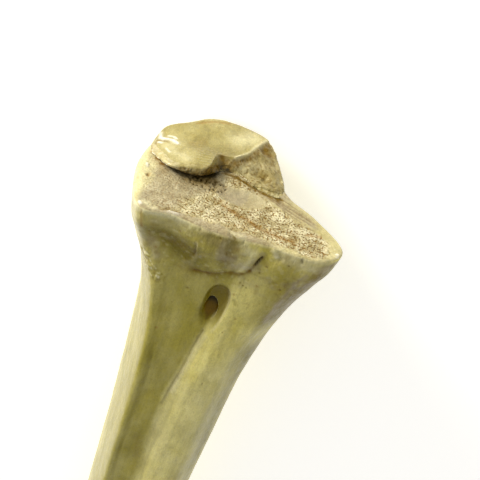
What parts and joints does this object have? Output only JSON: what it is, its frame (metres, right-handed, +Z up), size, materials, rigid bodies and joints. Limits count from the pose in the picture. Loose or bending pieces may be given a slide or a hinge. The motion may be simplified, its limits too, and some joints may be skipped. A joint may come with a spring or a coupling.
{
  "type": "giraffe leg bone",
  "caption": "Long forearm bone with a worn porous elbow end, a remnant of joint surface, a vessel opening near the head and a grooved wrist end, lying on its inner side.",
  "frame": {"origin": "centre of the bounding box at floor level", "axes": "+X along the bone towards the elbow end, +Y towards the front edge of the bone, +Z up through its outer side"},
  "size_m": [0.609, 0.093, 0.0773],
  "materials": {
    "radius": "dry yellowish bone, satin, with an open porous end",
    "ulna": "dry yellowish bone, satin",
    "proximal_epiphysis": "glossy joint surface over spongy bone",
    "distal_epiphysis": "dry yellowish bone, satin"
  },
  "bodies": {
    "root": {"radius": "radius", "ulna": "ulna", "proximal_epiphysis": "proximal_epiphysis", "distal_epiphysis": "distal_epiphysis"}
  },
  "joints": []
}
